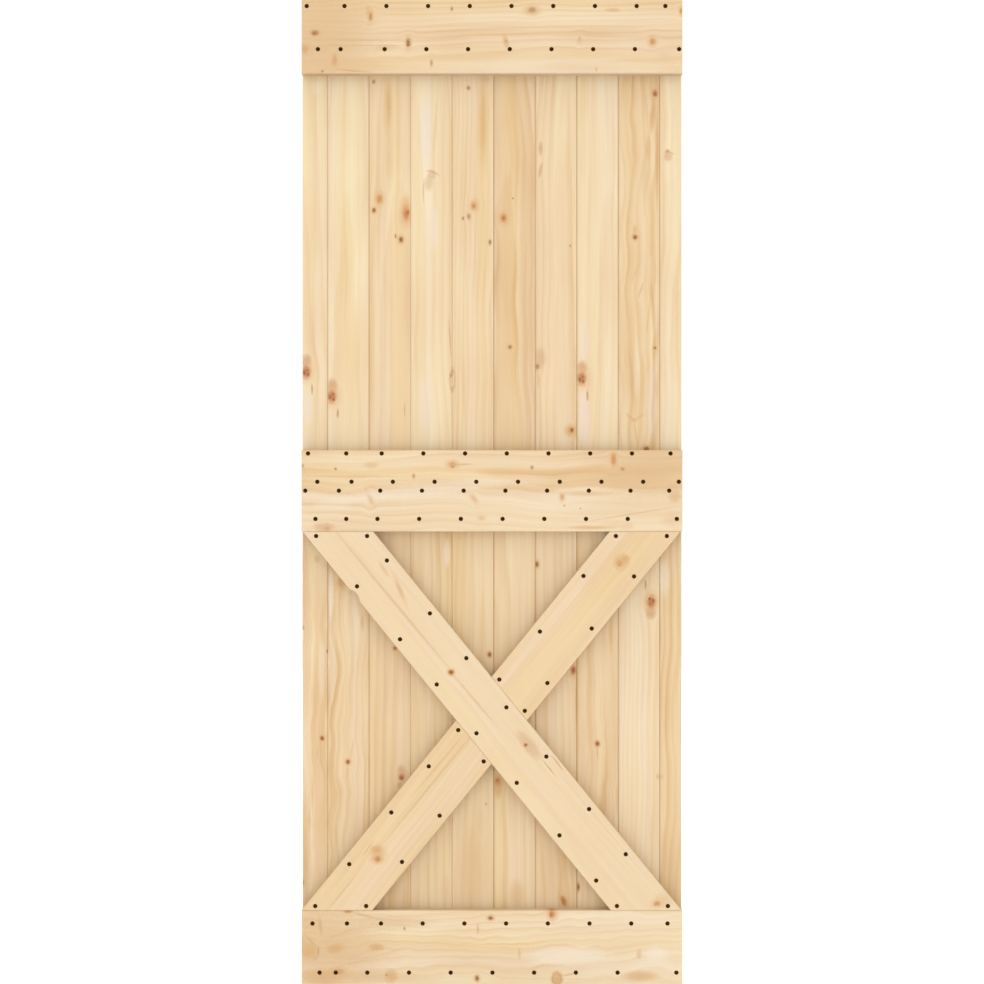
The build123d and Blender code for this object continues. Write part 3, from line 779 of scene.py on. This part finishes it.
def finish_pine(tree, colour, height):
    """Gives the surface its colour, its fine grain and a slight sheen."""
    bump = add(tree, "Bump", {"Height": height, "Strength": BUMP_STRENGTH, "Distance": BUMP_HEIGHT})
    shader = tree.nodes["Principled BSDF"]
    shader.inputs["Specular IOR Level"].default_value = PINE_SPECULAR
    put(tree, shader.inputs["Base Color"], colour)
    put(tree, shader.inputs["Roughness"], spread(tree, height, 0.0, 1.0, *PINE_ROUGHNESS))
    put(tree, shader.inputs["Normal"], bump.outputs[0])


def pine_material(name, lean, tone, figure, marks, seams=(), strips=()):
    """Bare pine for one piece, with its own growth rings, knots and streaks."""
    draw = random.Random(name)
    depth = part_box(name)[0].y
    material = bpy.data.materials.new("pine_" + name)
    material.use_nodes = True
    tree = material.node_tree
    coordinates = add(tree, "TexCoord").outputs
    local = turned(tree, coordinates["Object"], math.radians(lean))
    centre = Matrix.Rotation(math.radians(lean), 3, "Y") @ (sum(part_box(name), Vector()) / 2)
    pith = (centre.x + draw.uniform(-PITH_SIDE, PITH_SIDE), draw.uniform(*PITH_DEPTHS), 0.0)
    inputs = {
        "Place": push_grain(tree, local, marks, lean, depth),
        "Pith": pith,
        "Seed": draw.uniform(*SEED_SPAN),
        "Tone": tone,
        "Figure": figure,
        "Ripple": RIPPLE_HEIGHTS.get(name, 0.0),
        "Ring": draw.uniform(*RING_WIDTHS),
    }
    pine = use(tree, GROUPS["pine"], inputs)
    place = wobbled(tree, coordinates["Object"])
    colour = paint_marks(tree, pine["Colour"], place, marks, depth)
    # Painted shade down the seams between the boards
    colour = paint_seam_shade(tree, colour, coordinates["Object"], seams)
    if strips:
        colour = paint_shade(tree, colour, coordinates, strips)
    colour = mix(tree, end_cover(tree, coordinates, lean), colour, albedo(END_GRAIN))
    # Painted shade on the edges and ends
    colour = paint_side_shade(tree, colour, coordinates)
    finish_pine(tree, colour, pine["Height"])
    return material


def dress(name, material):
    """Gives a piece of wood its own material."""
    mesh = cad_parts[name].data
    mesh.materials.clear()
    mesh.materials.append(material)


def board_seams(prefix, number):
    """Where the seams at a board's two edges are, and how dark their painted shade is."""
    seams = []
    for right in (number, number + 1):
        if 1 < right <= len(SEAM_SHADE_SHARES) + 1:
            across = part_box(f"{prefix}_{right:02d}")[0].x + SEAM_SHIFTS[right - 2]
            seams.append((across, SEAM_SHADE_SHARES[right - 2]))
    return seams


def dress_boards(prefix, tones, figures, marks):
    """Pine for one row of boards, with the grain upright."""
    strips = strips_over(prefix)
    for number, (tone, figure) in enumerate(zip(tones, figures), 1):
        name = f"{prefix}_{number:02d}"
        seams = board_seams(prefix, number)
        dress(name, pine_material(name, 0.0, tone, figure, marks.get(number, ()), seams, strips))


def dress_rails_and_braces():
    """Pine for the pieces on the front, with the grain along each."""
    leans = {"through_brace": BRACE_LEAN, "upper_half_brace": -BRACE_LEAN, "lower_half_brace": -BRACE_LEAN}
    for name, marks in {**RAIL_MARKS, **BRACE_MARKS}.items():
        lean = leans.get(name, RAIL_LEAN)
        tone, figure = PIECE_TONE_SHARES[name], PIECE_FIGURE_SHARES[name]
        dress(name, pine_material(name, lean, tone, figure, marks))


def screw_material():
    """Dark painted steel, a little worn."""
    material = bpy.data.materials.new("dark_painted_steel")
    material.use_nodes = True
    tree = material.node_tree
    place = add(tree, "TexCoord").outputs["Object"]
    wear = add(tree, "TexNoise", {"Vector": place, "Scale": WEAR_SCALE, "Detail": WEAR_DETAIL}).outputs[0]
    least, most = WEAR_SPAN
    shown = ramp(tree, wear, ((least, SCREW_COLOUR, 1.0), (most, SCREW_WORN, 1.0)))
    shader = tree.nodes["Principled BSDF"]
    shader.inputs["Specular IOR Level"].default_value = SCREW_SPECULAR
    shader.inputs["Specular Tint"].default_value = (*linear(SCREW_SHEEN), 1.0)
    put(tree, shader.inputs["Base Color"], shown.outputs["Color"])
    put(tree, shader.inputs["Roughness"], spread(tree, wear, 0.0, 1.0, *SCREW_ROUGHNESS))
    return material


def head_places(node):
    """The middle of each screw's head, from the foremost corners of the solids in a node."""
    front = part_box(node)[0].y
    corners = {tuple(round(c, CORNER_DIGITS) for c in v.co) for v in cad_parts[node].data.vertices}
    heads = []
    for corner in sorted(corners):
        if corner[1] > front + HEAD_ROUNDING:
            continue
        near = [head for head in heads if math.dist(head[0], corner) < HEAD_SPREAD_SHARE * HEAD_RADIUS]
        if near:
            near[0].append(corner)
        else:
            heads.append([corner])
    return [sum(map(Vector, head), Vector()) / len(head) for head in heads]


def screw_rings(length):
    """Rings down one screw: radius, depth below the wood's face and share of cross lobes."""
    return (
        (RECESS_RADIUS * RECESS_FLOOR_SHARE, RECESS_DEPTH, RECESS_LOBE_SHARE),
        (RECESS_RADIUS * RECESS_WALL_SHARE, RECESS_DEPTH * RECESS_WALL_DEPTH_SHARE, RECESS_LOBE_SHARE),
        (RECESS_RADIUS, -HEAD_PROUD, RECESS_LOBE_SHARE),
        (RECESS_RADIUS * RECESS_RIM_SHARE, -HEAD_PROUD, 0.0),
        (HEAD_RADIUS - HEAD_ROUNDING, -HEAD_PROUD, 0.0),
        (HEAD_RADIUS, -HEAD_PROUD / 2, 0.0),
        (HEAD_RADIUS, 0.0, 0.0),
        (HEAD_UNDER_RADIUS, HEAD_PROUD, 0.0),
        (NECK_RADIUS, NECK_DEPTH, 0.0),
        (NECK_RADIUS, length - TIP_LENGTH, 0.0),
    )


def add_screw(mesh, head, length):
    """One closed screw, turned about its own axis from head to tip."""
    rings = []
    for radius, depth, lobes in screw_rings(length):
        ring = []
        for step in range(SCREW_SEGMENTS):
            angle = math.tau * step / SCREW_SEGMENTS
            reach = radius * (1 + lobes * math.cos(RECESS_LOBES * angle)) / (1 + lobes)
            offset = Vector((reach * math.cos(angle), depth, reach * math.sin(angle)))
            ring.append(mesh.verts.new(head + offset))
        rings.append(ring)
    for upper, lower in zip(rings, rings[1:]):
        for step in range(SCREW_SEGMENTS):
            after = (step + 1) % SCREW_SEGMENTS
            mesh.faces.new((upper[step], upper[after], lower[after], lower[step]))
    mesh.faces.new(list(reversed(rings[0])))
    tip = mesh.verts.new(head + Vector((0.0, length, 0.0)))
    for step in range(SCREW_SEGMENTS):
        mesh.faces.new((rings[-1][step], rings[-1][(step + 1) % SCREW_SEGMENTS], tip))


def make_screws(carrier, material):
    """The screws of one rail or brace, where the solids have them."""
    node = carrier + "_screws"
    low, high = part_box(node)
    mesh = bmesh.new()
    for head in head_places(node):
        add_screw(mesh, head, high.y - low.y)
    bmesh.ops.recalc_face_normals(mesh, faces=mesh.faces)
    data = bpy.data.meshes.new(carrier + "_turned_screws")
    mesh.to_mesh(data)
    mesh.free()
    data.materials.append(material)
    piece = bpy.data.objects.new(carrier + "_turned_screws", data)
    bpy.context.scene.collection.objects.link(piece)
    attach(piece, "root")
    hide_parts(node)


def make_world():
    """White light from everywhere, stronger from beside the door's faces."""
    world = bpy.data.worlds.new("studio")
    bpy.context.scene.world = world
    world.use_nodes = True
    tree = world.node_tree
    direction = add(tree, "TexCoord").outputs["Generated"]
    forward = add(tree, "SeparateXYZ", {"Vector": direction}).outputs["Y"]
    facing = sum_of(tree, "ABSOLUTE", forward)
    strength = spread(tree, facing, 0.0, 1.0, GRAZING_LIGHT, FACING_LIGHT)
    put(tree, tree.nodes["Background"].inputs["Strength"], strength)
    tree.nodes["Background"].inputs["Color"].default_value = (1.0, 1.0, 1.0, 1.0)


def make_floor():
    """A plain pale floor under the door's foot."""
    half = FLOOR_SIDE / 2
    level = cad_low.z
    data = bpy.data.meshes.new("floor")
    corners = [(-half, -half, level), (half, -half, level), (half, half, level), (-half, half, level)]
    data.from_pydata(corners, [], [(0, 1, 2, 3)])
    material = bpy.data.materials.new("pale_floor")
    material.use_nodes = True
    shader = material.node_tree.nodes["Principled BSDF"]
    shader.inputs["Base Color"].default_value = (*linear(FLOOR_COLOUR), 1.0)
    shader.inputs["Roughness"].default_value = FLOOR_ROUGHNESS
    data.materials.append(material)
    floor = bpy.data.objects.new("floor", data)
    bpy.context.scene.collection.objects.link(floor)


def make_camera():
    """A level eye straight in front of the middle of the door."""
    data = bpy.data.cameras.new("eye")
    data.sensor_width = SENSOR
    data.lens = SENSOR * EYE_DISTANCE / (PIXEL * PHOTO_SIDE)
    camera = bpy.data.objects.new("eye", data)
    camera.location = (0.0, cad_low.y - EYE_DISTANCE, (cad_low.z + cad_high.z) / 2)
    camera.rotation_euler = (math.radians(90.0), 0.0, 0.0)
    bpy.context.scene.collection.objects.link(camera)
    bpy.context.scene.camera = camera


GROUPS = {style: mark_group(style, stops) for style, stops in MARK_STYLES.items()}
GROUPS["push"] = push_group()
GROUPS["pine"] = pine_group()
GROUPS["shade"] = shade_group()
dress_boards("upper_board", UPPER_TONE_SHARES, UPPER_FIGURE_SHARES, UPPER_MARKS)
dress_boards("lower_board", LOWER_TONE_SHARES, LOWER_FIGURE_SHARES, LOWER_MARKS)
dress_rails_and_braces()
steel = screw_material()
for carrier in (*RAIL_MARKS, *BRACE_MARKS):
    make_screws(carrier, steel)
make_world()
make_floor()
make_camera()
bpy.context.scene.view_settings.view_transform = "Standard"
